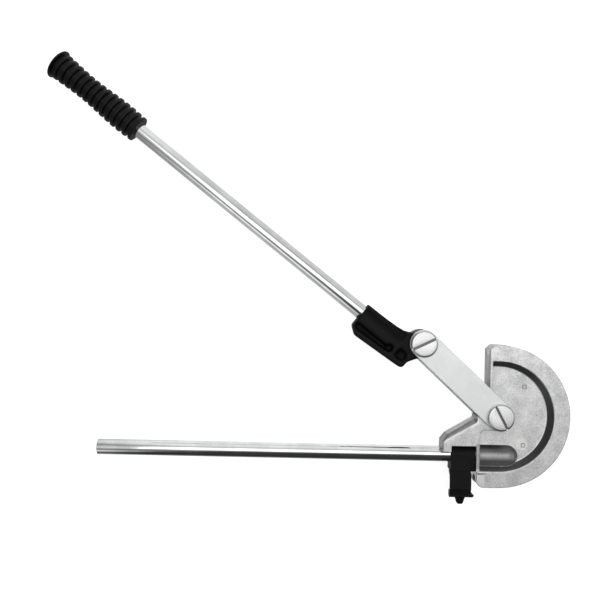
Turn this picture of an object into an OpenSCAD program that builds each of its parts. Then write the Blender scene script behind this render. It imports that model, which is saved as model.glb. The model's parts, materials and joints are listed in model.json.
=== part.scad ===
/* [Workpiece] */
// Outside diameter of the tube that is bent
tube_d = 18; // [16:0.5:18]
// Bend radius, from the former's pivot to the middle of the bent tube
bend_r = 72; // [72:0.5:74]
// Clearance of every groove that holds the tube, on the radius
tube_gap = 0.1; // [0.05:0.05:0.2]

/* [Former] */
// Thickness of the former from face to face
former_t = 26; // [25:0.5:27]
// Thickness of the recessed web
web_t = 9.3; // [8:0.1:11]
// Radius of the rim, outside the middle of the groove
rim_r = 74.5; // [74:0.5:74.5]
// Radius of the recess in the faces
recess_r = 57.7; // [57:0.1:58]
// Draft of the recess wall over its depth
recess_draft = 5.2; // [4:0.1:5.5]
// Radius of the hub round the pivot
hub_r = 15; // [14:0.1:15.5]
// Straight lead-in before the start of the bend
lead_in = 22.3; // [21:0.1:22.5]
// Straight run after the half turn
run_out = 10.3; // [9:0.1:11]
// Width of the window that the hook's collar turns in
window_w = 26; // [25.8:0.1:26.2]

/* [Fixed handle] */
// Outside diameter of both handle tubes
bar_d = 16; // [15:0.5:16]
// Wall of both handle tubes
bar_wall = 1.5; // [1:0.25:2]
// Distance from the tube's axis up to the fixed handle's axis
bar_y = 30; // [29.5:0.25:30.5]
// Reach of the fixed handle from the start of the bend
fixed_reach = 421; // [380:1:460]

/* [Links] */
// Distance between the two pivots
link_len = 110; // [109.5:0.1:110.2]
// Width of a link plate
link_w = 29; // [28:0.2:30]
// Thickness of a link plate
link_t = 4; // [3:0.5:5]
// Space between former and link plate, filled by a thrust washer
link_gap = 1.2; // [1:0.1:1.5]
// Direction of the links, from the pivot, with the tool opened out
link_angle = 137.2; // [120:0.1:140]

/* [Pivot bolts] */
// Diameter of a pivot bolt's shank
bolt_d = 12; // [10:0.5:13]
// Diameter of its slotted head
head_d = 28; // [26:0.5:29]
// Height of its head
head_h = 5; // [4:0.5:6]
// Width of its slot
slot_w = 2.4; // [2:0.1:3]

/* [Handle block] */
// Direction of the bending handle with the tool opened out
handle_angle = 141.9; // [139:0.1:145]
// Offset of the bending handle's axis from its pivot, towards the shoe
handle_off = 14.9; // [14:0.1:16]
// Length of the block from its pivot to its end face
block_len = 69.6; // [68:0.1:73]
// Distance from the pivot to the shoe's face
shoe_dist = 35; // [34.6:0.1:35]
// Angle between the shoe's face and the handle
shoe_tilt = 3.65; // [3:0.05:5]

/* [Grip] */
// Distance from the handle's pivot to the grip's outer end
grip_end = 488; // [450:1:520]
// Length of the grip
grip_len = 115.5; // [105:0.5:125]
// Number of ribs, counting the end flange
grip_ribs = 15; // [12:1:18]
// Mean radius over the ribs
grip_r = 14.1; // [13.5:0.1:15]

/* [Hook] */
// Width of the hook's collar
collar_w = 25.2; // [24.5:0.1:25.4]
// Outside radius of the collar
collar_r = 9.8; // [9.6:0.1:10.2]
// Outside radius of the jaw round the tube
jaw_r = 15.5; // [14.5:0.1:16]

/* [Hidden] */
$fn = 96;

// The origin is on the axis of the tube that is bent, where the bend starts, right below the
// former's pivot. X runs along the tube, Y towards the pivot, Z along the pivots.
eps = 0.01;
over = 1;
half_t = former_t / 2;
web_z = web_t / 2;
groove_r = tube_d / 2 + tube_gap;
floor_r = recess_r - recess_draft;
bar_r = bar_d / 2;
// The fixed handle is turned down where it sits in the former and carries the hook
seat_bar_r = bar_r - 0.25;
bar_in = bar_r - bar_wall;
run_fit = 0.05;
side_gap = 0.3;
wall = 3;
window_wall = 3.5;
bush_r = bolt_d / 2 + 2;
bolt_r = bolt_d / 2;

// Places of the fixed handle and its socket
socket_end = 10.4;
socket_r = 12.1;
window_x1 = -lead_in - 0.7;
window_x0 = window_x1 - window_w;
saddle_x = -58.2;
saddle_y = bar_y + 4;
window_top = bar_y + collar_r + 0.4;

// Places of the links and of what is stacked on them
link_z = half_t + link_gap;
link_out = link_z + link_t;
washer_t = link_gap - side_gap;
rear_washer_t = 2.2;
nut_h = 6;
nut_af = 18;
pin_r = 2;
pin_x = -6;

// Handle tube in its block, and the roll pins that hold both tubes
bar_start = 22;
bar_far = handle_off - bar_r + 0.4;
block_pin_x = 48;
block_pin_len = 24;
fixed_pin_low = -11;
fixed_pin_top = bar_r - 0.6;
pin_hole_r = 1;
grip_wall = 3.2;

// Outline of the block. rim_shoe is how far outside the shoe's face the tube's axis lies,
// with the shoe at work
knuckle_r = 14.5;
block_top = 3.8;
block_low = 32;
shoe_end = block_len - 9.5;
shoe_start = 0.6;
shoe_corner = 4;
relief_r = 10.9;
rim_shoe = link_len - bend_r - shoe_dist;

// Hook
tube_drop = bar_y;
seat_r = tube_d / 2 + 0.4;
sweep_out = tube_drop + tube_d / 2 + 0.4;
sweep_in = tube_drop - tube_d / 2 - 0.4;
hook_mid = (window_x0 + window_x1) / 2;
jaw_x0 = window_x0 - 1.4;
jaw_x1 = window_x1 - 5;
jaw_taper = 7;
neck_drop = 14;
jaw_front = 15;

// A prism that runs along X, drawn as [y, z] points
module along_x(x0, x1) {
    translate([x0, 0, 0]) rotate([90, 0, 90]) linear_extrude(x1 - x0) children();
}

module rod_x(x0, x1, r) {
    translate([x0, 0, 0]) rotate([0, 90, 0]) cylinder(h = x1 - x0, r = r);
}

module ring(z0, z1, r_out, r_in) {
    difference() {
        translate([0, 0, z0]) cylinder(h = z1 - z0, r = r_out);
        translate([0, 0, z0 - over]) cylinder(h = z1 - z0 + 2 * over, r = r_in);
    }
}

module at_former_pivot() {
    translate([0, bend_r, 0]) children();
}

module at_handle_pivot() {
    at_former_pivot() rotate(link_angle) translate([link_len, 0, 0]) children();
}

// Local frame of the bending handle: X along it, Y towards the shoe
module at_handle() {
    at_handle_pivot() rotate(handle_angle - link_angle) children();
}

module both_faces() {
    children();
    mirror([0, 0, 1]) children();
}

// ---- former ----

module rim_outline() {
    cut = 5;
    corner = 7;
    intersection() {
        circle(rim_r, $fn = 192);
        translate([0, -rim_r]) square([rim_r, 2 * rim_r]);
    }
    polygon([[0, -bend_r / 2], [0, rim_r], [-run_out + cut, rim_r],
             [-run_out, rim_r - cut], [-run_out, -bend_r / 2]]);
    translate([-lead_in, -rim_r + corner]) square([lead_in, rim_r - corner - bend_r / 2]);
    translate([-lead_in + corner, -rim_r]) square([lead_in - corner, corner]);
    translate([-lead_in + corner, -rim_r + corner]) circle(corner);
}

// Gusset that carries the saddle, its upper edge sloped on both faces
module gusset() {
    edge_x = -53.3;
    edge_y = -19.7;
    slope = 4.6;
    low = saddle_y - bend_r;
    low_in = window_top - bend_r;
    hull() {
        for (side = [[half_t, slope, 0.6], [half_t - slope, 0, 0]]) {
            linear_extrude(2 * side[0], center = true)
                polygon([[0, 8 - side[1]], [-20.9, -0.8 - side[1]],
                         [edge_x - side[2], edge_y - side[1]],
                         [saddle_x + 1.5, -24.5 - side[1] / 2], [saddle_x + side[2], -27.5],
                         [saddle_x + side[2], low], [window_x0, low], [0, low_in]]);
        }
    }
}

// Flat of the hub and gusset, level with the faces, which the recess leaves standing
module plateau_outline() {
    far = 2 * bend_r;
    r = 5;
    x = window_x1 + window_wall;
    y = 0.6 - hub_r;
    circle(hub_r);
    difference() {
        translate([-far, -far]) square(far);
        translate([x, -far - over]) square([far, far + over + y - r]);
        translate([x + r, y - r - over]) square([far, r + over]);
        translate([x + r, y - r]) circle(r);
    }
}

// Recess of one face, with a drafted outer wall
module recess() {
    top = half_t + over;
    top_r = recess_r + over * recess_draft / (half_t - web_z);
    difference() {
        union() {
            intersection() {
                translate([0, 0, web_z])
                    cylinder(h = top - web_z, r1 = floor_r, r2 = top_r, $fn = 192);
                translate([0, -bend_r, 0]) cube([bend_r, 2 * bend_r, bend_r]);
            }
            along_x(window_x1 + window_wall, 0)
                polygon([[0, web_z], [-floor_r, web_z], [-top_r, top], [0, top]]);
            along_x(-run_out + wall, 0)
                polygon([[0, web_z], [floor_r, web_z], [top_r, top], [0, top]]);
        }
        linear_extrude(bend_r) plateau_outline();
    }
}

// Groove for the tube: a round floor with straight sides up to the rim
module tube_groove() {
    depth = rim_r - bend_r + over;
    rotate(-90) rotate_extrude(angle = 180, $fn = 192) translate([bend_r, 0]) {
        circle(groove_r);
        translate([0, -groove_r]) square([depth, 2 * groove_r]);
    }
    for (side = [-1, 1]) {
        reach = side < 0 ? lead_in + over : run_out + over;
        translate([0, side * bend_r, 0]) {
            rod_x(-reach, 0, groove_r);
            along_x(-reach, 0) translate([side < 0 ? -depth : 0, -groove_r])
                square([depth, 2 * groove_r]);
        }
    }
}

// Shallow step on the face of the lead-in
module lead_in_step() {
    depth = 0.4;
    translate([-lead_in - over, -rim_r - over, half_t - depth])
        cube([8.8 + over, rim_r - 59.7 + over, depth + over]);
}

// Window for the collar: it takes the whole thickness between saddle and socket
module window() {
    low = 2 * bend_r;
    translate([window_x0, window_top - bend_r - low, -half_t - over])
        cube([window_w, low, former_t + 2 * over]);
}

module former() {
    bar_dy = bar_y - bend_r;
    color("silver") at_former_pivot() difference() {
        union() {
            difference() {
                union() {
                    linear_extrude(former_t, center = true) {
                        rim_outline();
                        circle(hub_r);
                        translate([window_x1, -recess_r - over])
                            square([-window_x1, recess_r + over]);
                    }
                    gusset();
                }
                both_faces() recess();
            }
            translate([0, bar_dy, 0]) {
                rod_x(window_x1, socket_end, socket_r);
                translate([socket_end, 0, 0]) rotate([0, 90, 0]) sphere(socket_r);
            }
        }
        tube_groove();
        window();
        both_faces() lead_in_step();
        translate([0, bar_dy, 0]) {
            rod_x(saddle_x - over, socket_end, seat_bar_r);
            translate([pin_x, 0, -half_t]) cylinder(h = half_t + fixed_pin_top, r = pin_r);
        }
        translate([0, 0, -half_t - over]) cylinder(h = former_t + 2 * over, r = bush_r);
    }
}

module hub_bush() {
    color("goldenrod") at_former_pivot() ring(-half_t, half_t, bush_r, bolt_r + run_fit);
}

module fixed_handle() {
    color("lightgray") translate([0, bar_y, 0]) difference() {
        union() {
            rod_x(-fixed_reach, saddle_x - over, bar_r);
            rod_x(saddle_x - 2 * over, socket_end, seat_bar_r);
        }
        rod_x(-fixed_reach - over, socket_end + over, bar_in);
        translate([pin_x, 0, -half_t]) cylinder(h = half_t + fixed_pin_top, r = pin_r);
    }
}

module fixed_handle_pin() {
    color("dimgray") translate([pin_x, bar_y, 0]) 
        ring(fixed_pin_low, fixed_pin_top, pin_r, pin_hole_r);
}

// ---- hook ----

// Side view of the jaw, as [y, z] from the handle's axis: a C that opens to the rear
module jaw_outline() {
    back = 7;
    difference() {
        union() {
            translate([-tube_drop, 0]) circle(jaw_r);
            translate([-tube_drop, -collar_r]) square([tube_drop - neck_drop, 2 * collar_r]);
            polygon([[-tube_drop, 0], [-neck_drop, 0], [-neck_drop, collar_r],
                     [-neck_drop - jaw_front + collar_r, jaw_front], [-tube_drop, jaw_front]]);
        }
        translate([-tube_drop, 0]) circle(seat_r);
        translate([-2 * tube_drop, jaw_front]) square([2 * tube_drop, jaw_r]);
        intersection() {
            difference() {
                circle(sweep_out);
                circle(sweep_in);
            }
            translate([-2 * tube_drop, -tube_drop]) square([2 * tube_drop, tube_drop]);
        }
        translate([-2 * tube_drop, -tube_drop])
            square([tube_drop * 2 - sweep_in + 4, tube_drop - back]);
    }
}

// Finger tab under the lip, for swinging the hook
module finger_tab() {
    root_w = 10.8;
    tip_w = 6.6;
    tab_h = 7;
    translate([hook_mid - 1, -tube_drop - jaw_r + over, 0])
        linear_extrude(5, center = true)
            polygon([[-root_w / 2, 0], [root_w / 2, 0], [tip_w / 2, -tab_h - over + 1.2],
                     [tip_w / 2 - 1.2, -tab_h - over], [1.2 - tip_w / 2, -tab_h - over],
                     [-tip_w / 2, -tab_h - over + 1.2]]);
}

// Everything left of the jaw's face, which slopes back towards the rear
module jaw_side() {
    reach = 3 * tube_drop;
    translate([jaw_x0, -neck_drop - reach, jaw_front]) rotate([0, -jaw_taper, 0])
        translate([-reach, 0, -reach]) cube([reach, reach, 2 * reach]);
}

module tube_hook() {
    x0 = hook_mid - collar_w / 2;
    x1 = hook_mid + collar_w / 2;
    foot_x = x1 - 0.6;
    color("black") translate([0, bar_y, 0]) difference() {
        union() {
            rod_x(x0, x1, collar_r);
            along_x(x0, x1) translate([-neck_drop - 2.5, -collar_r])
                square([neck_drop + 2.5, 2 * collar_r]);
            difference() {
                along_x(jaw_x0, jaw_x1) jaw_outline();
                jaw_side();
            }
            intersection() {
                along_x(jaw_x1 - over, foot_x) jaw_outline();
                translate([jaw_x1 - over, -tube_drop - jaw_r, -jaw_r])
                    cube([foot_x - jaw_x1 + over, 4.6, 2 * jaw_r]);
            }
            finger_tab();
        }
        rod_x(x0 - 4, x1 + over, seat_bar_r + run_fit);
        translate([jaw_x0 - over, -tube_drop - jaw_r - eps, -jaw_r])
            cube([over + 2, 1.4, 2 * jaw_r]);
    }
}

// ---- links and their pivots ----

module link_plate() {
    difference() {
        linear_extrude(link_t) {
            circle(d = link_w);
            translate([link_len, 0]) circle(d = link_w);
            translate([0, -link_w / 2]) square([link_len, link_w]);
        }
        translate([0, 0, -over]) cylinder(h = link_t + 2 * over, r = bolt_r + run_fit);
        translate([link_len, 0, -over]) cylinder(h = link_t + 2 * over, r = bolt_r);
    }
}

module front_link() {
    color("lightsteelblue") at_former_pivot() rotate(link_angle)
        translate([0, 0, link_z]) link_plate();
}

module rear_link() {
    color("lightsteelblue") at_former_pivot() rotate(link_angle)
        translate([0, 0, -link_out]) link_plate();
}

module thrust_pair() {
    both_faces() ring(link_z - washer_t, link_z, 12.5, bolt_r + 0.4);
}

module hub_thrust_washers() {
    color("white") at_former_pivot() thrust_pair();
}

module knuckle_thrust_washers() {
    color("white") at_handle_pivot() thrust_pair();
}

// Shoulder bolt with a slotted head whose edge is rounded off; gap is the play under the head
module pivot_bolt(gap, slot_angle) {
    seat = link_out + gap;
    tip = seat + rear_washer_t + nut_h + 1.6;
    bevel = 1;
    slot_depth = 1.9;
    difference() {
        union() {
            rotate_extrude() polygon([[0, seat], [head_d / 2, seat],
                                      [head_d / 2, seat + head_h - 1.6 * bevel],
                                      [head_d / 2 - 0.4 * bevel, seat + head_h - 0.7 * bevel],
                                      [head_d / 2 - 1.2 * bevel, seat + head_h - 0.15],
                                      [head_d / 2 - 2.5 * bevel, seat + head_h], [0, seat + head_h]]);
            rotate_extrude() polygon([[0, -tip], [bolt_r - bevel, -tip], [bolt_r, -tip + bevel],
                                      [bolt_r, seat + eps], [0, seat + eps]]);
        }
        rotate(slot_angle) translate([-head_d, -slot_w / 2, seat + head_h - slot_depth])
            cube([2 * head_d, slot_w, head_h]);
    }
}

module pivot_washer(gap) {
    seat = link_out + gap;
    ring(-seat - rear_washer_t, -seat, 12, bolt_r);
}

// Hexagon nut with both ends of its corners turned off
module pivot_nut(gap) {
    top = link_out + gap + rear_washer_t;
    corner = nut_af / sqrt(3);
    flat = nut_af / 2;
    difference() {
        intersection() {
            translate([0, 0, -top - nut_h]) cylinder(h = nut_h, r = corner, $fn = 6);
            rotate_extrude() polygon([[0, -top - nut_h], [flat, -top - nut_h],
                                      [corner, -top - nut_h + 0.8], [corner, -top - 0.8],
                                      [flat, -top], [0, -top]]);
        }
        translate([0, 0, -top - nut_h - over]) cylinder(h = nut_h + 2 * over, r = bolt_r);
    }
}

module former_pivot_bolt() {
    color("gainsboro") at_former_pivot() pivot_bolt(side_gap, -62.5);
}

module former_pivot_washer() {
    color("gainsboro") at_former_pivot() pivot_washer(side_gap);
}

module former_pivot_nut() {
    color("gainsboro") at_former_pivot() pivot_nut(side_gap);
}

module handle_pivot_bolt() {
    color("gainsboro") at_handle_pivot() pivot_bolt(0, 25.9 - link_angle);
}

module handle_pivot_washer() {
    color("gainsboro") at_handle_pivot() pivot_washer(0);
}

module handle_pivot_nut() {
    color("gainsboro") at_handle_pivot() pivot_nut(0);
}

// ---- bending handle ----

function face_v(u) = (shoe_dist + u * sin(shoe_tilt)) / cos(shoe_tilt);

module block_outline() {
    circle(knuckle_r);
    polygon([[block_len, block_top + 0.4], [block_len, block_low], [shoe_end, face_v(shoe_end)],
             [shoe_start + shoe_corner, face_v(shoe_start + shoe_corner)],
             [shoe_start, face_v(shoe_start) - shoe_corner], [shoe_start, 25.8],
             [-4.5, 17.5], [-10, 10.5], [0, 0], [knuckle_r - 0.6, -2.6], [22.8, 1.7],
             [30.7, 2.9], [47, block_top]]);
    translate([shoe_start + shoe_corner, face_v(shoe_start) - shoe_corner])
        circle(shoe_corner);
}

// Thinned upper part: the round socket of the handle stands out of it
module socket_relief() {
    difference() {
        translate([20, -10, 5]) cube([block_len, handle_off + 10.5, half_t]);
        translate([0, handle_off, 0]) rod_x(0, block_len + over, relief_r);
    }
}

// Pocket along the side of the shoe with a deep round end next to the cross rib
module long_pocket() {
    translate([0, 0, half_t - 4.5]) linear_extrude(half_t)
        polygon([[24, 25.4], [block_len - 2.2, 25.4], [block_len - 2.2, 30.4],
                 [block_len - 5.5, 32.4], [24, 30]]);
    translate([0, 0, half_t - 6.5]) linear_extrude(half_t) {
        translate([24.5, 25.2]) circle(3.6);
        polygon([[20.9, 25.2], [20.9, 29.4], [28.1, 29.8], [28.1, 25.2]]);
    }
}

module short_pocket() {
    translate([0, 0, half_t - 4]) linear_extrude(half_t)
        polygon([[4.5, 22], [8, 18.5], [14.5, 18.5], [15.5, 21], [16, 29.3], [5, 28.4]]);
}

module handle_block() {
    color("#202020") at_handle() difference() {
        linear_extrude(former_t, center = true) block_outline();
        both_faces() {
            socket_relief();
            long_pocket();
            short_pocket();
        }
        rotate(shoe_tilt) translate([0, shoe_dist + rim_shoe, 0])
            rod_x(-block_len, 2 * block_len, groove_r);
        translate([0, handle_off, 0]) rod_x(bar_start, block_len + over, bar_r);
        translate([block_pin_x, bar_far, 0]) rotate([-90, 0, 0])
            cylinder(h = block_low, r = pin_r);
        translate([0, 0, -half_t - over]) cylinder(h = former_t + 2 * over, r = bush_r);
    }
}

module knuckle_bush() {
    color("goldenrod") at_handle_pivot() ring(-half_t, half_t, bush_r, bolt_r + run_fit);
}

module bending_handle() {
    color("lightgray") at_handle() translate([0, handle_off, 0]) difference() {
        rod_x(bar_start, grip_end - grip_wall, bar_r);
        rod_x(bar_start - over, grip_end, bar_in);
        translate([block_pin_x, bar_far - handle_off, 0]) rotate([-90, 0, 0])
            cylinder(h = block_low, r = pin_r);
    }
}

module bending_handle_pin() {
    color("dimgray") at_handle() translate([block_pin_x, bar_far, 0])
        rotate([-90, 0, 0]) ring(0, block_pin_len, pin_r, pin_hole_r);
}

// Radius over a rib, t from 0 at the outer end to 1 at the inner end
function rib_r(t) = grip_r + cos(180 * (t - 0.82) / 0.43);

module grip() {
    pitch = grip_len / grip_ribs;
    groove = pitch * 0.34;
    deep = 1.9;
    flange = 16.4;
    ribs = [for (i = [0:grip_ribs - 1]) let (
                a = grip_end - i * pitch,
                b = a - pitch + groove,
                r = i == 0 ? flange : rib_r(i / (grip_ribs - 1)),
                n = rib_r((i + 0.5) / (grip_ribs - 1)) - deep)
            each (i == 0
                ? [[a - 1.2, r - 3], [a - 1.9, r - 0.8], [a - 2.9, r], [b + 1, r], [b, r - 0.9],
                   [b, n], [b - groove, n]]
                : [[a, r - 0.9], [a - 0.9, r], [b + 0.9, r], [b, r - 0.9],
                   each (i < grip_ribs - 1 ? [[b, n], [b - groove, n]] : [])])];
    inner = grip_end - grip_len + groove;
    color("#151515") at_handle() translate([0, handle_off, 0]) rotate([0, 90, 0])
        rotate_extrude() polygon([for (p = concat(
            [[grip_end - grip_wall, 0], [grip_end, 0], [grip_end - 0.3, 8]], ribs,
            [[inner, bar_r], [grip_end - grip_wall, bar_r]])) [p[1], p[0]]]);
}

former();
hub_bush();
fixed_handle();
fixed_handle_pin();
tube_hook();
front_link();
rear_link();
hub_thrust_washers();
former_pivot_bolt();
former_pivot_washer();
former_pivot_nut();
handle_pivot_bolt();
handle_pivot_washer();
handle_pivot_nut();
knuckle_thrust_washers();
handle_block();
knuckle_bush();
bending_handle();
bending_handle_pin();
grip();
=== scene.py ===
import json
import math

import bmesh
import bpy
import numpy as np
from mathutils import Matrix, Vector


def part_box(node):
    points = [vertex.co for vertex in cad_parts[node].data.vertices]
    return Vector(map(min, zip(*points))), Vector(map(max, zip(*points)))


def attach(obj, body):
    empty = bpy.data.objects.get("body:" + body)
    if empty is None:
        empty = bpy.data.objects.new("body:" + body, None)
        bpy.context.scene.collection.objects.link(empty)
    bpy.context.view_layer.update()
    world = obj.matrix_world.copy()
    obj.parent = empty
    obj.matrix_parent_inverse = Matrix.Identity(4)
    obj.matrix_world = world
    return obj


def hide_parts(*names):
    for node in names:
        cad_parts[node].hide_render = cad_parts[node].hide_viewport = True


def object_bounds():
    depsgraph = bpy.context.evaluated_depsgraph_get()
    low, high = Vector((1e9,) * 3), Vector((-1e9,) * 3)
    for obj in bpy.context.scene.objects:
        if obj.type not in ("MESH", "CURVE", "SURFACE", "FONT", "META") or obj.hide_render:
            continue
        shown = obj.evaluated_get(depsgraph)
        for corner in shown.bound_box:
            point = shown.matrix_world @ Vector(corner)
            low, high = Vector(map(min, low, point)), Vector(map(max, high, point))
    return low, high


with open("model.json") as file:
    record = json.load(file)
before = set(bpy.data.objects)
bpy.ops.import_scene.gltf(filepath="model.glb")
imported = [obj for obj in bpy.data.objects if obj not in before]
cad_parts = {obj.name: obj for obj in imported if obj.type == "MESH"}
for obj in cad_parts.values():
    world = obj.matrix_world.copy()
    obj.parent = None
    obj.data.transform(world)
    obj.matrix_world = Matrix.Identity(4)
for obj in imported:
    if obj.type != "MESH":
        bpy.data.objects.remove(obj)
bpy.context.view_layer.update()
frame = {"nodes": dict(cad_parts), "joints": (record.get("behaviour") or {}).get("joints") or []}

# A lever tube bender lying on a bench. X runs along the tube to be bent, Y towards the
# former's pivot, Z along the pivots towards the slotted bolt heads. All lengths are metres.
MM = 0.001
DM = 100 * MM
X_AXIS, Z_AXIS = Vector((1, 0, 0)), Vector((0, 0, 1))
JOINTS = {j["name"]: Vector(j["pos_m"]) for j in frame["joints"]}
FORMER_PIVOT = JOINTS["bend_swing"]
HANDLE_PIVOT = JOINTS["handle_fold"]
LINK_DIR = (HANDLE_PIVOT - FORMER_PIVOT).normalized()
# Marks on the web in the former's recess, in millimetres from the pivot
WEB_FACE = 4.65
EJECTOR_SPOTS = [Vector((28.2, 30.9, WEB_FACE)) * MM, Vector((27.9, -30.7, WEB_FACE)) * MM]
GATE_SPOT = Vector((41.8, 0.9, WEB_FACE)) * MM
DRESSED_SPOT = Vector((26.3, -29.7, WEB_FACE)) * MM
# The upper end of the gusset's sloping edge, and which way it slopes
GUSSET_TOP = FORMER_PIVOT + Vector((-20.9, -0.8, 0)) * MM
GUSSET_SLOPE = Vector((-32.4, -18.9, 0)).normalized()
TUBE_RADIUS, TUBE_BORE = 8 * MM, 6.5 * MM

# Kinds of node that come up often
MATH, VECTOR, MIX = "ShaderNodeMath", "ShaderNodeVectorMath", "ShaderNodeMix"
RAMP, NOISE, SPLIT = "ShaderNodeValToRGB", "ShaderNodeTexNoise", "ShaderNodeSeparateXYZ"
MAPPING = "ShaderNodeMapping"


# ---- small tools ----

def srgb(text):
    """A hex colour as linear RGBA."""
    parts = [int(text[i:i + 2], 16) / 255 for i in (1, 3, 5)]
    return [p / 12.92 if p <= 0.04045 else ((p + 0.055) / 1.055) ** 2.4 for p in parts] + [1]


def feed(tree, socket, value):
    """Gives a socket a value, or links it to a node's first live output or to another socket."""
    if isinstance(value, bpy.types.Node):
        value = next(out for out in value.outputs if out.enabled)
    if isinstance(value, bpy.types.NodeSocket):
        tree.links.new(value, socket)
    else:
        socket.default_value = value


def add(tree, kind, inputs=None, stops=(), **settings):
    """Adds a node. inputs feeds its sockets, settings are its properties, and stops are a ramp's
    (position, hex colour or grey level)."""
    made = tree.nodes.new(kind)
    for key, value in settings.items():
        setattr(made, key, value)
    for key, value in (inputs or {}).items():
        feed(tree, made.inputs[key], value)
    for i, (at, tone) in enumerate(stops):
        bar = made.color_ramp.elements
        stop = bar[i] if i < len(bar) else bar.new(at)
        stop.position = at
        stop.color = srgb(tone) if isinstance(tone, str) else (tone, tone, tone, 1)
    return made


def per_mm(size):
    """Texture scale whose features measure about size millimetres."""
    return 1 / (size * MM)


def new_material(name):
    """A material; returns it, its tree, its Principled shader and its Object coordinates."""
    made = bpy.data.materials.new(name)
    made.use_nodes = True
    tree = made.node_tree
    shader = tree.nodes["Principled BSDF"]
    return made, tree, shader, add(tree, "ShaderNodeTexCoord").outputs["Object"]


def dress(tree, shader, inputs, reliefs):
    """Feeds a shader's sockets and stacks reliefs on it, as (height, depth in millimetres)."""
    for key, value in inputs.items():
        feed(tree, shader.inputs[key], value)
    surface = {}
    for height, depth in reliefs:
        surface = {"Normal": add(tree, "ShaderNodeBump", {"Height": height, "Strength": 1.0,
                                                          "Distance": depth * MM, **surface})}
    feed(tree, shader.inputs["Normal"], surface["Normal"])


# ---- materials ----

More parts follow.
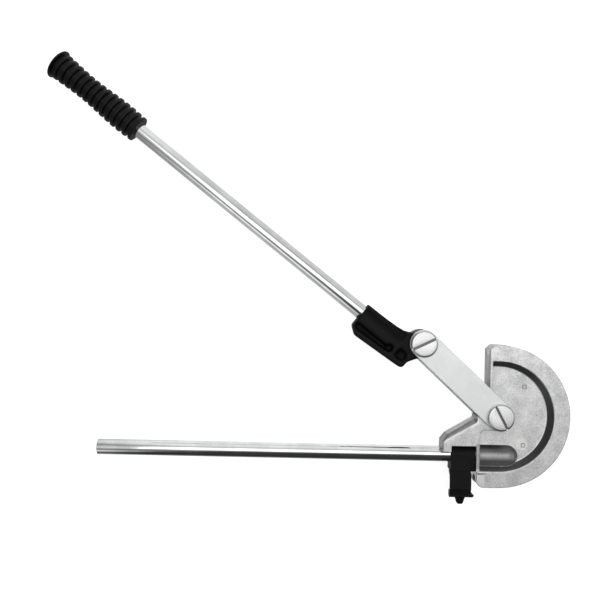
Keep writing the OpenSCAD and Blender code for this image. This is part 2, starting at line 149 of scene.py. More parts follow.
def die_cast_aluminium():
    """Pressure die casting, left as cast: a light grey skin, faintly clouded where the metal
    flowed and cooled, dull, with a fine grain and a few pits. Shade is painted darker on the
    steep wall of the recess, on the steep flanks inside it and on the socket's round back."""
    made, tree, shader, place = new_material("die_cast_aluminium")
    clouds = add(tree, NOISE, {"Vector": place, "Scale": per_mm(14), "Detail": 4, "Roughness": 0.6})
    grain = add(tree, NOISE, {"Vector": place, "Scale": per_mm(1.5), "Detail": 5, "Roughness": 0.8})
    fine = add(tree, NOISE, {"Vector": place, "Scale": per_mm(0.5), "Detail": 3, "Roughness": 0.6})
    both = add(tree, MIX, {"Factor": 0.65, "A": clouds, "B": grain})
    skin = add(tree, RAMP, {"Fac": both},
               stops=[(0.38, "#b4b5b5"), (0.5, "#cfd0cf"), (0.62, "#e6e6e5")])

    # Place from the pivot in decimetres: out is round the bend, and level along the lead-in.
    # The names below it are bounds of the casting's features in the same measure
    own = add(tree, VECTOR, {0: place, 1: FORMER_PIVOT}, operation="SUBTRACT")
    own = add(tree, VECTOR, {0: own, 1: (DM, DM, DM)}, operation="DIVIDE")
    x, y, z = add(tree, SPLIT, {0: own}).outputs
    round_x = add(tree, MATH, {0: x, 1: 0.0}, operation="MAXIMUM")
    flat = add(tree, "ShaderNodeCombineXYZ", {0: round_x, 1: y})
    out = add(tree, VECTOR, {0: flat}, operation="LENGTH")
    facing = add(tree, SPLIT, {0: add(tree, "ShaderNodeNewGeometry").outputs["Normal"]}).outputs
    tilt = add(tree, MATH, {0: facing["Z"]}, operation="ABSOLUTE")
    recess_reach, groove_reach, lead_in_step = 0.55, 0.58, -0.135
    end_face_foot, end_face_x = 0.09, -0.095
    socket_top, socket_end, socket_rise = -0.29, -0.24, 0.051
    within = add(tree, MATH, {0: out, 1: recess_reach}, operation="LESS_THAN")

    # The end face, left of the pivot and above the gusset, gets no painted shade
    below = add(tree, MATH, {0: y, 1: end_face_foot}, operation="LESS_THAN")
    right = add(tree, MATH, {0: x, 1: end_face_x}, operation="GREATER_THAN")
    inside = add(tree, MATH, {0: below, 1: right}, operation="MAXIMUM")
    # Painted shade on the wall of the recess, on what is steeper than its web
    around = add(tree, RAMP, {"Fac": out}, stops=[(0.515, 0), (0.527, 1), (0.57, 1), (0.578, 0)])
    steep = add(tree, RAMP, {"Fac": tilt}, stops=[(0.8, 1.0), (0.97, 0.0)])
    # Painted shade on the flanks inside it, but less on the gusset's edge, which is out in the
    # open.
    # A ramp reads from 0 to 1, so x is counted from one decimetre further left for it
    flank = add(tree, RAMP, {"Fac": tilt}, stops=[(0.5, 1.0), (0.75, 0.7), (0.93, 0.0)])
    from_left = add(tree, MATH, {0: x, 1: 1.0}, operation="ADD")
    gusset = add(tree, RAMP, {"Fac": from_left}, stops=[(0.77, 0.3), (0.8, 1.0)])
    # The socket's round back, where it stands proud of the web on either face
    low = add(tree, MATH, {0: y, 1: socket_top}, operation="LESS_THAN")
    near = add(tree, MATH, {0: x, 1: socket_end}, operation="GREATER_THAN")
    height = add(tree, MATH, {0: z}, operation="ABSOLUTE")
    proud = add(tree, MATH, {0: height, 1: socket_rise}, operation="GREATER_THAN")
    wall, flanks, on_socket = around, inside, low
    for mask in (inside, steep):
        wall = add(tree, MATH, {0: wall, 1: mask}, operation="MULTIPLY")
    for mask in (within, flank, gusset):
        flanks = add(tree, MATH, {0: flanks, 1: mask}, operation="MULTIPLY")
    for mask in (within, near, proud):
        on_socket = add(tree, MATH, {0: on_socket, 1: mask}, operation="MULTIPLY")
    # Painted shade on that back above its crest and below it, with an unshaded band between
    lean = add(tree, MATH, {0: facing["Y"], 1: 0.5, 2: 0.5}, operation="MULTIPLY_ADD")
    lean = add(tree, RAMP, {"Fac": lean},
               stops=[(0.05, 0.0), (0.14, 0.5), (0.26, 0.5), (0.34, 0.0), (0.43, 0.0), (0.5, 0.5),
                      (0.6, 0.7), (0.72, 1.0)])
    flanks = add(tree, MIX, {"Factor": on_socket, "A": flanks, "B": lean})
    painted_shade = add(tree, MATH, {0: wall, 1: flanks}, operation="MAXIMUM")

    # One ejector spot was dressed flat, and the lead-in's outer end was machined lower
    dressed_radius, rim_middle, rim_half_width, rim_height = 6.3 * MM, 1.9 * MM, 0.4 * MM, MM
    spot = add(tree, VECTOR, {0: place, 1: FORMER_PIVOT + DRESSED_SPOT}, operation="DISTANCE")
    spot = add(tree, MATH, {0: spot, 1: dressed_radius}, operation="LESS_THAN")
    past = add(tree, MATH, {0: x, 1: lead_in_step}, operation="LESS_THAN")
    outer = add(tree, MATH, {0: out, 1: groove_reach}, operation="GREATER_THAN")
    pad = add(tree, MATH, {0: past, 1: outer}, operation="MULTIPLY")
    clean = add(tree, MATH, {0: spot, 1: pad}, operation="MAXIMUM")
    # The first layer is the painted shade; the second is the lighter dressed and machined metal
    layers = [(painted_shade, 0.85, "#4a4a4b"), (clean, 0.45, "#f0f0ef")]
    # The square rims of the ejector pins are drawn darker, within a millimetre of the web
    for mark in EJECTOR_SPOTS:
        off = add(tree, VECTOR, {0: place, 1: FORMER_PIVOT + mark}, operation="SUBTRACT")
        off = add(tree, SPLIT, {0: add(tree, VECTOR, {0: off}, operation="ABSOLUTE")}).outputs
        square = add(tree, MATH, {0: off["X"], 1: off["Y"]}, operation="MAXIMUM")
        line = add(tree, MATH, {0: square, 1: rim_middle, 2: rim_half_width},
                   operation="COMPARE")
        level = add(tree, MATH, {0: off["Z"], 1: rim_height}, operation="LESS_THAN")
        line = add(tree, MATH, {0: line, 1: level}, operation="MULTIPLY")
        layers.append((line, 0.6, "#585858"))
    tone = skin
    for mask, strength, colour in layers:
        mask = add(tree, MATH, {0: mask, 1: strength}, operation="MULTIPLY")
        tone = add(tree, MIX, {0: mask, 6: tone, 7: srgb(colour)}, data_type="RGBA")

    dull = add(tree, RAMP, {"Fac": both}, stops=[(0.35, 0.48), (0.65, 0.36)])
    cells = add(tree, "ShaderNodeTexVoronoi", {"Vector": place, "Scale": per_mm(6)})
    pits = add(tree, RAMP, {"Fac": cells}, stops=[(0.02, 0.0), (0.07, 1.0)])
    dress(tree, shader, {"Base Color": tone, "Roughness": dull, "Metallic": 1.0},
          [(grain, 0.05), (fine, 0.02), (pits, 0.08), (pad, -0.4)])
    return made


def chrome_plate(name, along):
    """Bright chrome on polished steel tube: a near mirror with faint lines along the tube from
    polishing and a slight haze where it was handled. along is the tube's direction."""
    made, tree, shader, place = new_material(name)
    turn = X_AXIS.rotation_difference(along).inverted().to_euler()
    own = add(tree, MAPPING, {"Vector": place, "Rotation": turn})
    drawn = add(tree, MAPPING, {"Vector": own, "Scale": (0.02, 1, 1)})
    lines = add(tree, NOISE, {"Vector": drawn, "Scale": per_mm(0.7), "Detail": 3, "Roughness": 0.6})
    haze = add(tree, NOISE, {"Vector": place, "Scale": per_mm(22), "Detail": 4, "Roughness": 0.6})
    tone = add(tree, RAMP, {"Fac": haze}, stops=[(0.4, "#dcdddd"), (0.6, "#e9eaea")])
    gloss = add(tree, RAMP, {"Fac": haze}, stops=[(0.35, 0.05), (0.7, 0.12)])
    dress(tree, shader, {"Base Color": tone, "Roughness": gloss, "Metallic": 1.0},
          [(lines, 0.004)])
    return made


def zinc_plate():
    """Bright zinc on cold rolled plate: light and even, satin, with a fine rolled grain."""
    made, tree, shader, place = new_material("zinc_plated_steel")
    turn = (0, 0, -math.atan2(LINK_DIR.y, LINK_DIR.x))
    own = add(tree, MAPPING, {"Vector": place, "Rotation": turn})
    drawn = add(tree, MAPPING, {"Vector": own, "Scale": (0.08, 1, 1)})
    clouds = add(tree, NOISE, {"Vector": place, "Scale": per_mm(14), "Detail": 4, "Roughness": 0.6})
    rolled = add(tree, NOISE, {"Vector": drawn, "Scale": per_mm(0.5), "Detail": 3,
                               "Roughness": 0.6})
    tone = add(tree, RAMP, {"Fac": clouds}, stops=[(0.35, "#e3e4e4"), (0.65, "#e8e9e9")])
    gloss = add(tree, RAMP, {"Fac": rolled}, stops=[(0.3, 0.44), (0.7, 0.54)])
    dress(tree, shader, {"Base Color": tone, "Roughness": gloss, "Metallic": 1.0},
          [(rolled, 0.006)])
    return made


def turned_zinc(name, centre, top):
    """Turned steel heads under bright zinc: rings from the tool round the centre, and painted
    shade in the slot. The rings are drawn 2.6 millimetres apart, wide enough to show. top is the
    head's height."""
    made, tree, shader, place = new_material(name)
    own = add(tree, MAPPING, {"Vector": place, "Location": (-centre.x, -centre.y, -top)})
    # At scale 1 the texture's rings lie a twentieth of a full turn apart
    rings = add(tree, "ShaderNodeTexWave", {"Vector": own,
                                            "Scale": per_mm(2.565) * 2 * math.pi / 20,
                                            "Distortion": 0.8, "Detail": 3.0},
                wave_type="RINGS", rings_direction="Z").outputs["Fac"]
    clouds = add(tree, NOISE, {"Vector": place, "Scale": per_mm(6), "Detail": 4, "Roughness": 0.6})
    both = add(tree, MIX, {"Factor": 0.25, "A": clouds, "B": rings})
    skin = add(tree, RAMP, {"Fac": both}, stops=[(0.3, "#cbcccc"), (0.65, "#dededd")])
    # Painted shade fills the slot, which lies inside the head's rim, below its flat and above the
    # plate
    slot_reach, slot_top, slot_floor = 13.2 * MM, -0.3 * MM, -3 * MM
    x, y, z = add(tree, SPLIT, {0: own}).outputs
    flat = add(tree, "ShaderNodeCombineXYZ", {0: x, 1: y})
    reach = add(tree, VECTOR, {0: flat}, operation="LENGTH")
    slot_shade = add(tree, MATH, {0: reach, 1: slot_reach}, operation="LESS_THAN")
    sunk = add(tree, MATH, {0: z, 1: slot_top}, operation="LESS_THAN")
    proud = add(tree, MATH, {0: z, 1: slot_floor}, operation="GREATER_THAN")
    for mask in (sunk, proud):
        slot_shade = add(tree, MATH, {0: slot_shade, 1: mask}, operation="MULTIPLY")
    # The slot is painted a darker grey as its shade
    tone = add(tree, MIX, {0: slot_shade, 6: skin, 7: srgb("#6e6e6f")}, data_type="RGBA")
    gloss = add(tree, RAMP, {"Fac": clouds}, stops=[(0.3, 0.34), (0.7, 0.42)])
    dress(tree, shader, {"Base Color": tone, "Roughness": gloss, "Metallic": 1.0},
          [(rings, 0.004)])
    return made


def powder_coat(name, shade_below):
    """Black powder coat over a casting: a fine orange peel, deep and satin. It is painted lighter,
    as if lit, on faces further from the middle plane than the given distance in metres, and
    darker as painted shade nearer it."""
    made, tree, shader, place = new_material(name)
    peel = add(tree, NOISE, {"Vector": place, "Scale": per_mm(0.9), "Detail": 3,
                             "Roughness": 0.55})
    clouds = add(tree, NOISE, {"Vector": place, "Scale": per_mm(12), "Detail": 4, "Roughness": 0.6})
    height = add(tree, MATH, {0: add(tree, SPLIT, {0: place}).outputs["Z"]}, operation="ABSOLUTE")
    # Painted shade: the coat is dark near the middle plane, in the pockets and on the sides, and
    # lighter as if lit further out
    lit_share = add(tree, "ShaderNodeMapRange", {"Value": height, "From Min": shade_below,
                                              "From Max": shade_below + 3 * MM})
    lit_coat = add(tree, RAMP, {"Fac": clouds}, stops=[(0.35, "#161617"), (0.7, "#1d1d1e")])
    coat = add(tree, MIX, {0: lit_share, 6: srgb("#060607"), 7: lit_coat}, data_type="RGBA")
    satin = add(tree, RAMP, {"Fac": clouds}, stops=[(0.3, 0.42), (0.7, 0.54)])
    dress(tree, shader, {"Base Color": coat, "Roughness": satin, "IOR": 1.5,
                         "Specular IOR Level": 0.09}, [(peel, 0.02)])
    return made


def moulded_rubber():
    """Moulded black rubber: matt with a soft sheen on the crowns of the ribs and a fine skin."""
    made, tree, shader, place = new_material("moulded_rubber")
    skin = add(tree, NOISE, {"Vector": place, "Scale": per_mm(0.5), "Detail": 3, "Roughness": 0.6})
    dust = add(tree, NOISE, {"Vector": place, "Scale": per_mm(9), "Detail": 5, "Roughness": 0.65})
    tone = add(tree, RAMP, {"Fac": dust}, stops=[(0.4, "#080809"), (0.72, "#111112")])
    sheen = add(tree, RAMP, {"Fac": dust}, stops=[(0.3, 0.42), (0.7, 0.58)])
    dress(tree, shader, {"Base Color": tone, "Roughness": sheen, "IOR": 1.52,
                         "Specular IOR Level": 0.22}, [(skin, 0.015)])
    return made


def sintered_bronze():
    """Oil-filled sintered bronze: brown gold, fine open pores."""
    made, tree, shader, place = new_material("sintered_bronze")
    pores = add(tree, NOISE, {"Vector": place, "Scale": per_mm(0.3), "Detail": 2,
                              "Roughness": 0.5})
    tone = add(tree, RAMP, {"Fac": pores}, stops=[(0.35, "#7a5528"), (0.6, "#b08a4a")])
    dress(tree, shader, {"Base Color": tone, "Roughness": 0.45, "Metallic": 1.0},
          [(pores, 0.01)])
    return made


def moulded_nylon():
    """Natural nylon washers: milky white, slightly uneven in tone."""
    made, tree, shader, place = new_material("moulded_nylon")
    clouds = add(tree, NOISE, {"Vector": place, "Scale": per_mm(5), "Detail": 3, "Roughness": 0.5})
    tone = add(tree, RAMP, {"Fac": clouds}, stops=[(0.3, "#d8d6cb"), (0.7, "#e6e4da")])
    dress(tree, shader, {"Base Color": tone, "Roughness": 0.45, "IOR": 1.53}, [(clouds, 0.01)])
    return made


def spring_steel():
    """Roll pins of phosphated spring steel: dark grey with a fine draw grain."""
    made, tree, shader, place = new_material("phosphated_spring_steel")
    grain = add(tree, NOISE, {"Vector": place, "Scale": per_mm(0.3), "Detail": 3,
                              "Roughness": 0.6})
    tone = add(tree, RAMP, {"Fac": grain}, stops=[(0.3, "#2c2d2e"), (0.7, "#46484a")])
    dress(tree, shader, {"Base Color": tone, "Roughness": 0.5, "Metallic": 1.0},
          [(grain, 0.008)])
    return made


# ---- shapes ----

def long_axis(node):
    """Middle and direction of a tube, from the centres of its two ends."""
    points = np.array([v.co for v in frame["nodes"][node].data.vertices])
    spread = np.linalg.svd(points - points.mean(0), full_matrices=False)[2][0]
    reach = points @ spread
    near, far = points[reach < reach.min() + MM], points[reach > reach.max() - MM]
    start = Vector((near.min(0) + near.max(0)) / 2)
    end = Vector((far.min(0) + far.max(0)) / 2)
    return (start + end) / 2, (end - start).normalized()


def span(node, middle, along):
    """How far a CAD node reaches from middle, backwards and forwards along a direction."""
    points = [along.dot(v.co - middle) for v in frame["nodes"][node].data.vertices]
    return min(points), max(points)


def local_frame(origin, along):
    """Matrix of a frame at origin whose X runs along a direction in the XY plane."""
    side = Z_AXIS.cross(along)
    turn = Matrix((along, side, Z_AXIS)).transposed().to_4x4()
    return Matrix.Translation(origin) @ turn


def to_object(name, mesh, material, smooth=35):
    """Links a mesh as an object with one material, shaded smooth up to an angle in degrees."""
    mesh.materials.clear()
    mesh.materials.append(material)
    made = bpy.data.objects.new(name, mesh)
    bpy.context.scene.collection.objects.link(made)
    mesh.shade_smooth()
    if smooth:
        mesh.set_sharp_from_angle(angle=math.radians(smooth))
    return made


def settle(made):
    """Applies an object's modifiers by replacing its mesh with the evaluated one."""
    depsgraph = bpy.context.evaluated_depsgraph_get()
    mesh = bpy.data.meshes.new_from_object(made.evaluated_get(depsgraph), depsgraph=depsgraph)
    made.modifiers.clear()
    made.data = mesh
    mesh.name = made.name


def merged_copy(node):
    """A closed copy of a CAD node's loose triangles, its flat faces joined."""
    shape = bmesh.new()
    shape.from_mesh(frame["nodes"][node].data)
    bmesh.ops.remove_doubles(shape, verts=shape.verts, dist=0.002 * MM)
    bmesh.ops.dissolve_limit(shape, angle_limit=math.radians(0.5), verts=shape.verts,
                             edges=shape.edges)
    mesh = bpy.data.meshes.new(node + "_shape")
    shape.to_mesh(mesh)
    shape.free()
    return mesh


def eased(name, node, material, width):
    """A CAD node with its sharp edges rounded off by width metres."""
    made = to_object(name, merged_copy(node), material)
    bevel = made.modifiers.new("edges", "BEVEL")
    bevel.width = width
    bevel.segments = 2
    bevel.limit_method = "ANGLE"
    bevel.angle_limit = math.radians(30)
    bevel.harden_normals = True
    settle(made)
    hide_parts(node)
    return made


def cast(name, node, material, voxel, rounds, keep, own=Matrix(), soft=None):
    """A CAD node as a casting: every edge and corner flows into the next, as in a die.
    The mesh is rebuilt in voxels in the part's own frame, relaxed and thinned out. soft holds a
    test of a point, and how many rounds of relaxing the points that pass it get first."""
    mesh = merged_copy(node)
    mesh.transform(own.inverted())
    made = to_object(name, mesh, material, smooth=0)
    rebuild = made.modifiers.new("rebuild", "REMESH")
    rebuild.mode = "VOXEL"
    rebuild.voxel_size = voxel
    settle(made)
    passes = [(rounds, "")]
    if soft:
        is_soft, more_rounds = soft
        group = made.vertex_groups.new(name="soft")
        group.add([v.index for v in made.data.vertices if is_soft(own @ v.co)], 1.0, "ADD")
        passes.insert(0, (more_rounds, group.name))
    for iterations, group_name in passes:
        relax = made.modifiers.new("relax", "SMOOTH")
        relax.factor = 0.5
        relax.iterations = iterations
        relax.vertex_group = group_name
    thin = made.modifiers.new("thin", "DECIMATE")
    thin.ratio = keep
    settle(made)
    made.vertex_groups.clear()
    made.data.transform(own)
    made.data.shade_smooth()
    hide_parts(node)
    return made


def lathe(name, profile, own, material, steps=128, smooth=35):
    """Turns a closed outline of (radius, height) points round the X axis of a frame.
    Points of radius nought become one vertex."""
    shape = bmesh.new()
    rings = []
    for radius, height in profile:
        if radius < 1e-9:
            rings.append([shape.verts.new(own @ Vector((height, 0, 0)))] * steps)
            continue
        ring = []
        for i in range(steps):
            turn = 2 * math.pi * i / steps
            place = Vector((height, radius * math.cos(turn), radius * math.sin(turn)))
            ring.append(shape.verts.new(own @ place))
        rings.append(ring)
    for a, b in zip(rings, rings[1:] + rings[:1]):
        for i in range(steps):
            j = (i + 1) % steps
            corners = list(dict.fromkeys((a[i], a[j], b[j], b[i])))
            if len(corners) > 2:
                shape.faces.new(corners)
    bmesh.ops.recalc_face_normals(shape, faces=shape.faces)
    mesh = bpy.data.meshes.new(name)
    shape.to_mesh(mesh)
    shape.free()
    return to_object(name, mesh, material, smooth)


def rounded(corner_a, corner_b, corner_c, radius, steps=4):
    """Points of an arc that rounds the corner b between a and c."""
    a, b, c = (Vector(p) for p in (corner_a, corner_b, corner_c))
    to_a, to_c = (a - b).normalized(), (c - b).normalized()
    half = to_a.angle(to_c) / 2
    reach = radius / math.tan(half)
    middle = b + (to_a + to_c).normalized() * (radius / math.sin(half))
    start, end = b + to_a * reach - middle, b + to_c * reach - middle
    turn = start.angle_signed(end)
    return [tuple(middle + Matrix.Rotation(-turn * i / steps, 2) @ start)
            for i in range(steps + 1)]


# ---- the pieces ----

def on_gusset_edge(point):
    """The gusset's sloping upper edge and its two corners, rounded over on both faces."""
    off = point - GUSSET_TOP
    along, below = off.dot(GUSSET_SLOPE), off.dot(Z_AXIS.cross(GUSSET_SLOPE))
    before, length, above, band = -5 * MM, 42 * MM, -1 * MM, 7 * MM
    return before < along < length and above < below < band


def near_block_face(point):
    """The handle block but for its middle, where the shoe's groove is deepest. It is relaxed until
    the pockets in its two faces nearly fade."""
    middle = 4 * MM
    return abs(point.z) > middle


def handle_tube(name, node, material):
    """A length of steel tube with its cut ends deburred inside and out."""
    middle, along = long_axis(node)
    start, end = span(node, middle, along)
    deburred = 0.4 * MM
    corners = [(TUBE_RADIUS, start), (TUBE_RADIUS, end), (TUBE_BORE, end), (TUBE_BORE, start)]
    profile = []
    for i in range(4):
        profile += rounded(corners[i - 1], corners[i], corners[(i + 1) % 4], deburred)
    made = lathe(name, profile, local_frame(middle, along), material, smooth=50)
    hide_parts(node)
    return made


def grip_tree(sizes):
    """Nodes that sweep a ribbed grip along X from its domed outer end. Each rib's crown follows a
    slow wave in radius, the first is a wider flange, and a bore takes the tube."""
    tree = bpy.data.node_groups.new("ribbed_grip", "GeometryNodeTree")
    tree.interface.new_socket("Geometry", in_out="OUTPUT", socket_type="NodeSocketGeometry")
    for name in sizes:
        tree.interface.new_socket(name, in_out="INPUT", socket_type="NodeSocketFloat")
    tree.interface.new_socket("Rubber", in_out="INPUT", socket_type="NodeSocketMaterial")
    given = add(tree, "NodeGroupInput").outputs
    place = add(tree, "GeometryNodeInputPosition")
    known = {name: given[name] for name in sizes}
    known["x"] = add(tree, SPLIT, {0: place}).outputs["X"]
    # Each sum gives a name to an operation on numbers and on names given before it
    for name, operation, *terms in [
            ("turns", "DIVIDE", "x", "Pitch"),
            ("rib", "FLOOR", "turns"),
            ("in rib", "FRACT", "turns"),
            # The wave of the crowns, at its widest 0.82 of the way along
            ("last rib", "SUBTRACT", "Ribs", 1.0),
            ("share", "DIVIDE", "rib", "last rib"),
            ("phase", "SUBTRACT", "share", 0.82),
            ("phase", "MULTIPLY", "phase", math.pi / 0.43),
            ("wave", "COSINE", "phase"),
            ("crown", "MULTIPLY_ADD", "wave", "Swell", "Radius"),
            ("groove", "SUBTRACT", "crown", "Depth"),
            # The first rib is the flange
            ("is flange", "LESS_THAN", "rib", 0.5),
            ("wider", "SUBTRACT", "Flange", "crown"),
            ("crown", "MULTIPLY_ADD", "is flange", "wider", "crown"),
            # Across a rib the surface rises and falls along a rounded square of power 6
            ("in rib", "DIVIDE", "in rib", "Rib Share"),
            ("in rib", "MINIMUM", "in rib", 1.0),
            ("off", "MULTIPLY_ADD", "in rib", 2.0, -1.0),
            ("off", "ABSOLUTE", "off"),
            ("off", "POWER", "off", 6.0),
            ("off", "SUBTRACT", 1.0, "off"),
            ("off", "MAXIMUM", "off", 0.0),
            ("bulge", "POWER", "off", 1 / 6.0),
            ("rise", "SUBTRACT", "crown", "groove"),
            ("ribbed", "MULTIPLY_ADD", "bulge", "rise", "groove"),
            # The dome is half a rounded square of power 3
            ("off", "DIVIDE", "x", "Dome"),
            ("off", "MINIMUM", "off", 1.0),
            ("off", "SUBTRACT", 1.0, "off"),
            ("off", "POWER", "off", 3.0),
            ("off", "SUBTRACT", 1.0, "off"),
            ("off", "MAXIMUM", "off", 0.0),
            ("bulge", "POWER", "off", 1 / 3.0),
            ("domed", "MULTIPLY", "bulge", "Flange"),
            ("in dome", "LESS_THAN", "x", "Dome"),
            ("change", "SUBTRACT", "domed", "ribbed"),
            ("radius", "MULTIPLY_ADD", "in dome", "change", "ribbed"),
            # The drill is centred on the inner end, so half of it is inside
            ("depth", "SUBTRACT", "Length", "End Wall"),
            ("drill length", "MULTIPLY", "depth", 2.0)]:
        feeds = {i: known.get(term, term) for i, term in enumerate(terms)}
        known[name] = add(tree, MATH, feeds, operation=operation)
    inner_end = add(tree, "ShaderNodeCombineXYZ", {"X": given["Length"]})
    line = add(tree, "GeometryNodeCurvePrimitiveLine", {"End": inner_end})
    fine = add(tree, "GeometryNodeResampleCurve", {"Curve": line, "Count": 420})
    circle = add(tree, "GeometryNodeCurvePrimitiveCircle", {"Resolution": 96, "Radius": 1.0})
    body = add(tree, "GeometryNodeCurveToMesh", {"Curve": fine, "Profile Curve": circle,
                                                 "Scale": known["radius"], "Fill Caps": True})
    drill = add(tree, "GeometryNodeMeshCylinder", {"Vertices": 96, "Radius": given["Bore"],
                                                   "Depth": known["drill length"]})
    drill = add(tree, "GeometryNodeTransform", {"Geometry": drill, "Translation": inner_end,
                                                "Rotation": (0, math.pi / 2, 0)})
    bored = add(tree, "GeometryNodeMeshBoolean", {"Mesh 1": body, "Mesh 2": drill},
                operation="DIFFERENCE", solver="EXACT")
    real = add(tree, "GeometryNodeRealizeInstances", {0: bored})
    done = add(tree, "GeometryNodeSetMaterial", {"Geometry": real, "Material": given["Rubber"]})
    add(tree, "NodeGroupOutput", {0: done})
    return tree


def grip_piece(material):
    """The ribbed rubber grip on the outer end of the bending handle."""
    middle, along = long_axis("bending_handle")
    inwards = -along if along.dot(middle - HANDLE_PIVOT) > 0 else along
    outer_end, inner_end = span("grip", middle, inwards)
    length = inner_end - outer_end
    ribs, rib_share = 15, 0.45
    sizes = {"Length": length, "Ribs": ribs, "Pitch": length / (ribs - 1 + rib_share),
             "Rib Share": rib_share, "Radius": 14.1 * MM, "Swell": 1.0 * MM,
             "Flange": 16.4 * MM, "Depth": 3.2 * MM, "Dome": 4.2 * MM, "Bore": TUBE_RADIUS,
             "End Wall": 3.2 * MM}
    made = to_object("grip_rubber", bpy.data.meshes.new("grip_rubber"), material, smooth=0)
    sweep = made.modifiers.new("ribs", "NODES")
    sweep.node_group = grip_tree(sizes)
    for socket in sweep.node_group.interface.items_tree:
        if socket.in_out == "INPUT":
            sweep[socket.identifier] = sizes.get(socket.name, material)
    settle(made)
    made.data.transform(local_frame(middle + inwards * outer_end, inwards))
    made.data.shade_smooth()
    made.data.set_sharp_from_angle(angle=math.radians(60))
    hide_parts("grip")
    return made


def ejector_marks(material):
    """Witness marks on the former's web: a low square rim round each ejector pin, and the stub
    of a gate. Both start a little below the web."""
    outer, inner, slope = 2.5 * MM, 1.45 * MM, 0.1 * MM
    height, sunk = 0.45 * MM, -0.4 * MM
    rim = [(outer, sunk), (outer - slope, height), (inner + slope, height), (inner, sunk)]
    stub = [(0, height), (0.5 * MM, height), (1.0 * MM, sunk), (0, sunk)]
    # Turned on Z, with the four sides of a rim square to X and Y
    upright = Matrix.Rotation(-math.pi / 2, 4, "Y") @ Matrix.Rotation(math.pi / 4, 4, "X")
    made = []
    for i, spot in enumerate(EJECTOR_SPOTS):
        own = Matrix.Translation(FORMER_PIVOT + spot) @ upright
        made.append(lathe("ejector_mark_%d" % (i + 1), rim, own, material, steps=4, smooth=20))
    own = Matrix.Translation(FORMER_PIVOT + GATE_SPOT) @ upright
    made.append(lathe("gate_stub", stub, own, material, steps=16))
    return made


# ---- build ----

handle_middle, handle_dir = long_axis("bending_handle")
if handle_dir.dot(handle_middle - HANDLE_PIVOT) < 0:
    handle_dir = -handle_dir

aluminium = die_cast_aluminium()
plate = zinc_plate()
nylon = moulded_nylon()
bronze = sintered_bronze()
pin_steel = spring_steel()
head_metal = turned_zinc("turned_zinc_former_pivot", FORMER_PIVOT,
                         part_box("former_pivot_bolt")[1].z)
knuckle_metal = turned_zinc("turned_zinc_handle_pivot", HANDLE_PIVOT,
                            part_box("handle_pivot_bolt")[1].z)
block_black = powder_coat("black_powder_coat_block", 9.5 * MM)
hook_black = powder_coat("black_powder_coat_hook", 2 * MM)

pieces = [
    # piece, body, slot
    (cast("former_casting", "former", aluminium, voxel=0.5 * MM, rounds=3, keep=0.45,
          soft=(on_gusset_edge, 60)), "former", "former"),
    (cast("handle_block_casting", "handle_block", block_black, voxel=0.45 * MM, rounds=5,
          keep=0.5, own=local_frame(HANDLE_PIVOT, handle_dir), soft=(near_block_face, 160)),
     "handle", "black_casting"),
    (cast("tube_hook_casting", "tube_hook", hook_black, voxel=0.35 * MM, rounds=4, keep=0.5),
     "hook", "black_casting"),
    (handle_tube("fixed_handle_tube", "fixed_handle", chrome_plate("chrome_plate_fixed", X_AXIS)),
     "former", "chrome_tube"),
    (handle_tube("bending_handle_tube", "bending_handle",
                 chrome_plate("chrome_plate_bending", handle_dir)), "handle", "chrome_tube"),
    (grip_piece(moulded_rubber()), "handle", "grip_rubber")]

for name, node, material, width, body, slot in [
        # name, node, material, rounding in millimetres, body, slot
        ("former_bolt", "former_pivot_bolt", head_metal, 0.35, "former_pivot", "zinc_plate"),
        ("handle_bolt", "handle_pivot_bolt", knuckle_metal, 0.35, "links", "zinc_plate"),
        ("front_link_plate", "front_link", plate, 0.5, "links", "zinc_plate"),
        ("rear_link_plate", "rear_link", plate, 0.5, "links", "zinc_plate"),
        ("former_rear_washer", "former_pivot_washer", head_metal, 0.25, "former_pivot",
         "zinc_plate"),
        ("handle_rear_washer", "handle_pivot_washer", knuckle_metal, 0.25, "links",
         "zinc_plate"),
        ("former_lock_nut", "former_pivot_nut", head_metal, 0.2, "former_pivot", "zinc_plate"),
        ("handle_lock_nut", "handle_pivot_nut", knuckle_metal, 0.2, "links", "zinc_plate"),
        ("hub_washers", "hub_thrust_washers", nylon, 0.15, "links", "washer_nylon"),
        ("knuckle_washers", "knuckle_thrust_washers", nylon, 0.15, "links", "washer_nylon"),
        ("hub_sleeve", "hub_bush", bronze, 0.2, "former", "bronze"),
        ("knuckle_sleeve", "knuckle_bush", bronze, 0.2, "handle", "bronze"),
        ("fixed_roll_pin", "fixed_handle_pin", pin_steel, 0.2, "former", "pin_steel"),
        ("bending_roll_pin", "bending_handle_pin", pin_steel, 0.2, "handle", "pin_steel")]:
    pieces.append((eased(name, node, material, width * MM), body, slot))

pieces += [(mark, "former", "former") for mark in ejector_marks(aluminium)]
for piece, body, slot in pieces:
    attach(piece, body)


# ---- stage ----

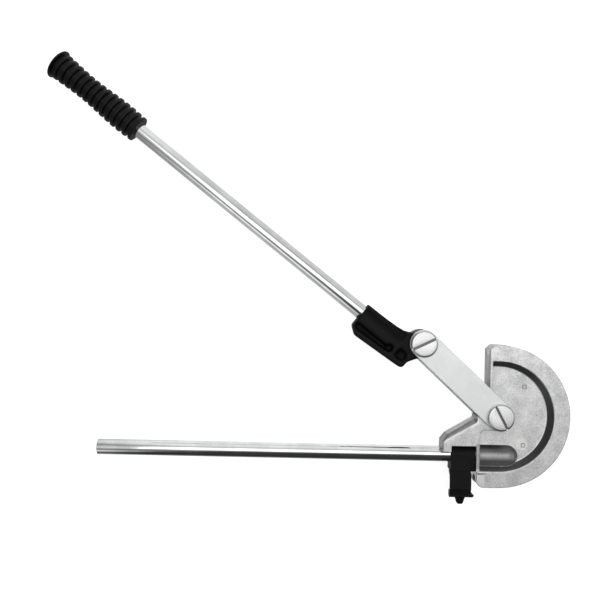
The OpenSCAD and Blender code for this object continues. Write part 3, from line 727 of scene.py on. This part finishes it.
def studio_walls():
    """The studio as the tubes mirror it: a soft panel overhead, a pale wall on the +Y side, greyer
    in its +X corner, a dark room on the -Y side with a second panel towards -X, and a dim end at
    -X. Each ramp gives the tone against the angle from straight up, over half a turn. Seen
    directly, the studio is plain and pale."""
    world = bpy.data.worlds.new("studio")
    bpy.context.scene.world = world
    world.use_nodes = True
    tree = world.node_tree
    way = add(tree, SPLIT, {0: add(tree, "ShaderNodeTexCoord").outputs["Generated"]}).outputs
    turn = add(tree, MATH, {0: way["Z"]}, operation="ARCCOSINE")
    angle = add(tree, MATH, {0: turn, 1: math.pi}, operation="DIVIDE")
    # Direction over the ground, of length 1 except close to straight up or down
    level = add(tree, MATH, {0: turn}, operation="SINE")
    level = add(tree, MATH, {0: level, 1: 0.05}, operation="MAXIMUM")
    level_x = add(tree, MATH, {0: way["X"], 1: level}, operation="DIVIDE")
    level_y = add(tree, MATH, {0: way["Y"], 1: level}, operation="DIVIDE")
    # The pale wall begins a little turned from the X axis
    skewed_y = add(tree, MATH, {0: level_x, 1: 0.35, 2: level_y}, operation="MULTIPLY_ADD")
    # Where each wall takes over from the one before it: what is read, from and to
    edges = {"dark": (level_x, -0.52, -0.3), "corner": (level_x, 0.2, 0.5),
             "pale side": (skewed_y, -0.25, 0.25), "end in x": (level_x, -0.3, -0.6),
             "end in y": (level_y, -0.7, -0.4)}
    tones = {"panel": [(0.0, 1.05), (0.03, 0.7), (0.11, 0.4), (0.2, 0.2), (0.27, 0.4),
                       (0.33, 1.15), (0.38, 1.1), (0.47, 0.5), (0.6, 0.5), (0.75, 0.7)],
             "dark": [(0.0, 1.05), (0.03, 0.7), (0.07, 0.42), (0.12, 0.16), (0.18, 0.05),
                      (0.56, 0.03), (0.8, 0.4)],
             "pale": [(0.0, 1.1), (0.08, 1.0), (0.13, 0.82), (0.2, 0.62), (0.3, 0.95),
                      (1.0, 1.02)],
             "corner": [(0.0, 1.1), (0.08, 1.0), (0.13, 0.66), (0.2, 0.42), (0.3, 0.72),
                        (1.0, 0.8)],
             "end": [(0.0, 1.05), (0.08, 0.95), (0.16, 0.6), (0.3, 0.16), (0.6, 0.12),
                     (0.8, 0.5)]}
    share = {name: add(tree, "ShaderNodeMapRange",
                       {"Value": value, "From Min": start, "From Max": end},
                       interpolation_type="SMOOTHSTEP")
             for name, (value, start, end) in edges.items()}
    wall = {name: add(tree, RAMP, {"Fac": angle}, stops=stops) for name, stops in tones.items()}
    end_share = add(tree, MATH, {0: share["end in x"], 1: share["end in y"]},
                    operation="MULTIPLY")
    seen = add(tree, "ShaderNodeLightPath").outputs["Is Camera Ray"]
    low_side = add(tree, MIX, {0: share["dark"], 6: wall["panel"], 7: wall["dark"]},
                   data_type="RGBA")
    high_side = add(tree, MIX, {0: share["corner"], 6: wall["pale"], 7: wall["corner"]},
                    data_type="RGBA")
    whole = low_side
    for part, over in ((share["pale side"], high_side), (end_share, wall["end"]),
                       (seen, srgb("#f4f4f4"))):
        whole = add(tree, MIX, {0: part, 6: whole, 7: over}, data_type="RGBA")
    feed(tree, tree.nodes["Background"].inputs["Color"], whole)


low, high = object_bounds()
studio_walls()

table, table_tree, table_shader, _ = new_material("white_light_table")
for key, value in {"Base Color": srgb("#c8c8c8"), "Roughness": 0.9,
                   "Emission Color": srgb("#ffffff"), "Emission Strength": 0.8}.items():
    feed(table_tree, table_shader.inputs[key], value)
half = 3.0
floor_mesh = bpy.data.meshes.new("floor")
floor_mesh.from_pydata([(x, y, low[2]) for x, y in ((-half, -half), (half, -half), (half, half),
                                                    (-half, half))], [], [(0, 1, 2, 3)])
floor = to_object("floor", floor_mesh, table)
# The tubes mirror the studio's walls instead of the table, as they do when they hang in front of it
floor.visible_glossy = False

# One soft lamp straight overhead, towards the former from the middle of the tool
lamp_height, lamp_off_x, lamp_off_y = 1.5, 0.22, 0.02
light = bpy.data.lights.new("overhead", "AREA")
light.shape = "RECTANGLE"
light.size, light.size_y = 1.9, 1.0
light.energy = 5.6
overhead = bpy.data.objects.new("overhead", light)
overhead.location = ((low[0] + high[0]) / 2 + lamp_off_x, (low[1] + high[1]) / 2 + lamp_off_y,
                     lamp_height)
bpy.context.scene.collection.objects.link(overhead)

# Camera straight above, rolled by a little more than a degree
camera_height, frame_width = 0.818, 0.636
camera = bpy.data.cameras.new("camera")
camera.sensor_width = 36.0
camera.lens = camera.sensor_width * camera_height / frame_width
camera_object = bpy.data.objects.new("camera", camera)
bpy.context.scene.collection.objects.link(camera_object)
camera_object.location = FORMER_PIVOT + Vector((-0.2103, 0.1176, camera_height))
camera_object.rotation_euler = (0, 0, math.radians(1.18))
bpy.context.scene.camera = camera_object
bpy.context.scene.view_settings.view_transform = "Standard"
